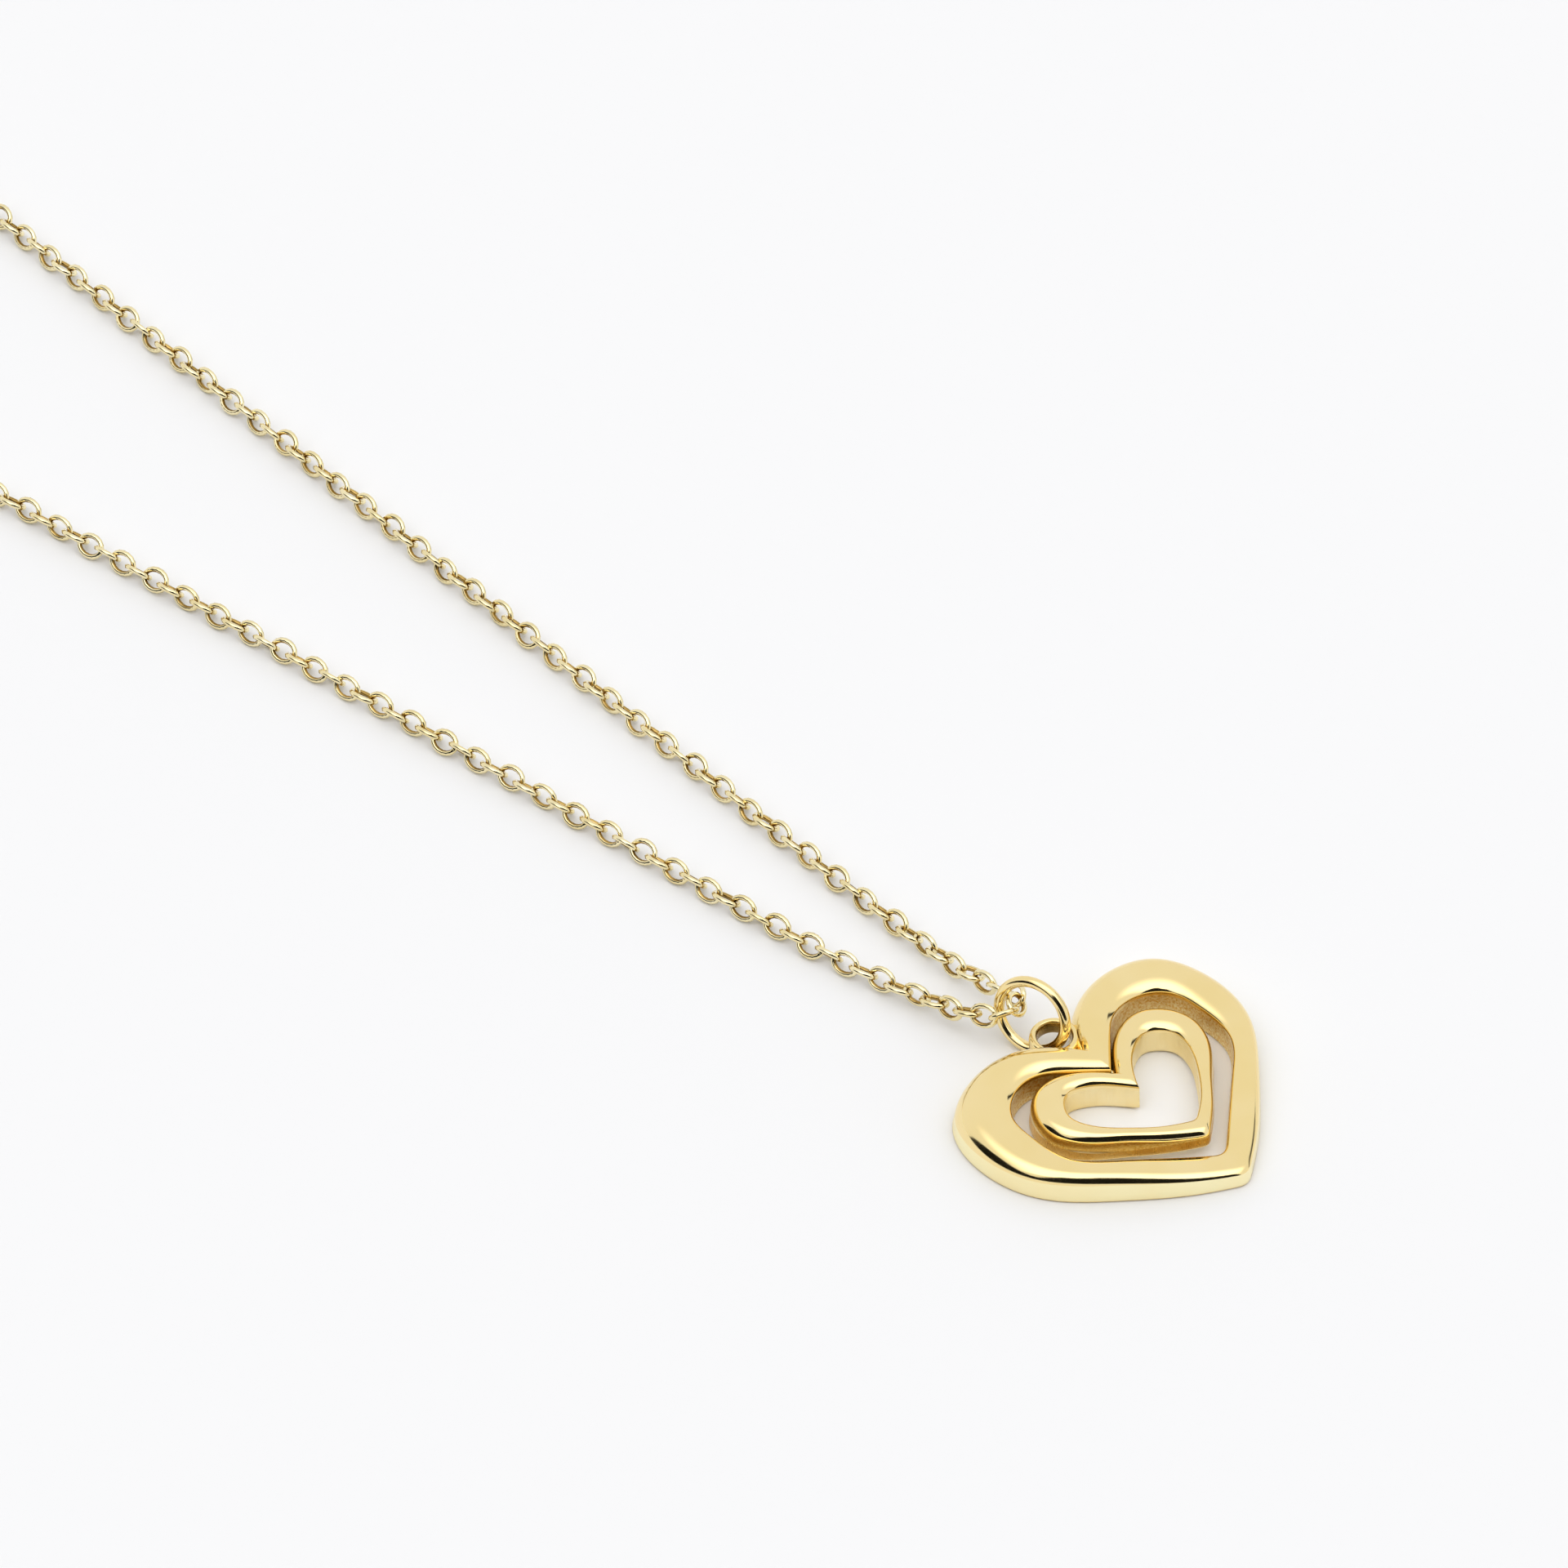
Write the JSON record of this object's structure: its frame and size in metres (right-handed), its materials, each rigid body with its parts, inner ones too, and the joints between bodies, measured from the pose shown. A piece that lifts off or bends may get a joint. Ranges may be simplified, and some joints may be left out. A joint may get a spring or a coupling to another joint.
{
  "type": "heart pendant necklace",
  "caption": "Open heart pendant with a smaller open heart inside it, hung by an eyelet and jump ring on a fine cable chain necklace, laid flat.",
  "frame": {"origin": "on the flat back of the heart, at the small heart's cleft, on the line that divides the heart", "axes": "+Y from the heart's tip towards the chain and the clasp, +X to the right seen from the front with the tip towards the viewer, +Z out of the heart's front"},
  "size_m": [0.0387, 0.2302, 0.004],
  "materials": {
    "pendant_gold": "polished gold plate with satin inner walls",
    "ring_gold": "polished gold plate on drawn wire",
    "chain_gold": "polished gold plate on fine soldered links",
    "clasp_gold": "polished gold plate"
  },
  "bodies": {
    "root": {"heart_pendant": "pendant_gold", "jump_ring": "ring_gold", "chain_right": "chain_gold", "chain_left": "chain_gold", "clasp": "clasp_gold", "clasp_ring": "ring_gold", "end_ring": "ring_gold"}
  },
  "joints": []
}
